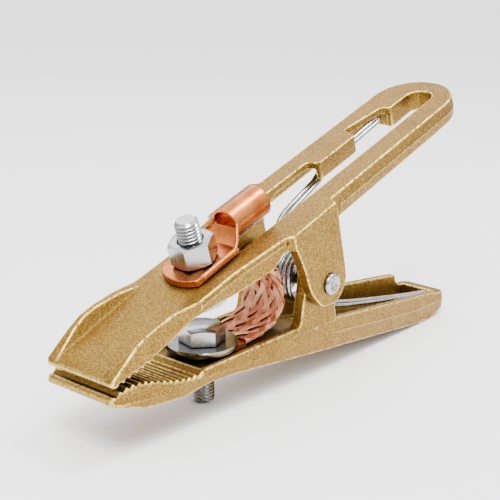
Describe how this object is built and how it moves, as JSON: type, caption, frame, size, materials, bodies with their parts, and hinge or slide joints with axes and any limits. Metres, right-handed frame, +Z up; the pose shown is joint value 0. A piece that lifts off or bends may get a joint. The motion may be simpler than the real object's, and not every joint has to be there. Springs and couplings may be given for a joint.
{
  "type": "ground clamp",
  "caption": "Sprung welding ground clamp: two cast brass jaws with handles on one riveted hinge, copper braid between the jaws and a cable lug on a stud.",
  "frame": {"origin": "bottom centre of the bounding box: the clamp stands on its lower bolt's tip and on the tail of the lower handle", "axes": "+X from the jaw tips to the handle ends, +Z up, the hinge axis runs along Y"},
  "size_m": [0.2398, 0.052, 0.1179],
  "materials": {
    "cast_brass": "sand-cast, tumbled, satin",
    "zinc_plate": "bright zinc plated",
    "spring_steel": "bright drawn wire",
    "braid_copper": null,
    "lug_copper": null
  },
  "bodies": {
    "lower_arm": {"lower_jaw": "cast_brass", "pivot_rivet": "zinc_plate", "torsion_spring": "spring_steel", "braid_strap": "braid_copper", "braid_end_lower": "lug_copper", "lower_bolt": "zinc_plate", "lower_washer": "zinc_plate"},
    "upper_arm": {"upper_jaw": "cast_brass", "upper_bolt": "zinc_plate", "upper_washer": "zinc_plate", "braid_end_upper": "lug_copper", "stud_nut": "zinc_plate", "cable_lug": "lug_copper"}
  },
  "joints": [
    {"name": "jaw_hinge", "type": "hinge", "parent": "lower_arm", "child": "upper_arm", "pos_m": [0.0029, 0, 0.04409], "axis": [0, 1, 0], "range_deg": [0, 30], "stiffness_Nm_per_rad": 3, "springref_deg": -34.38, "deforming": ["torsion_spring", "braid_strap"]}
  ]
}
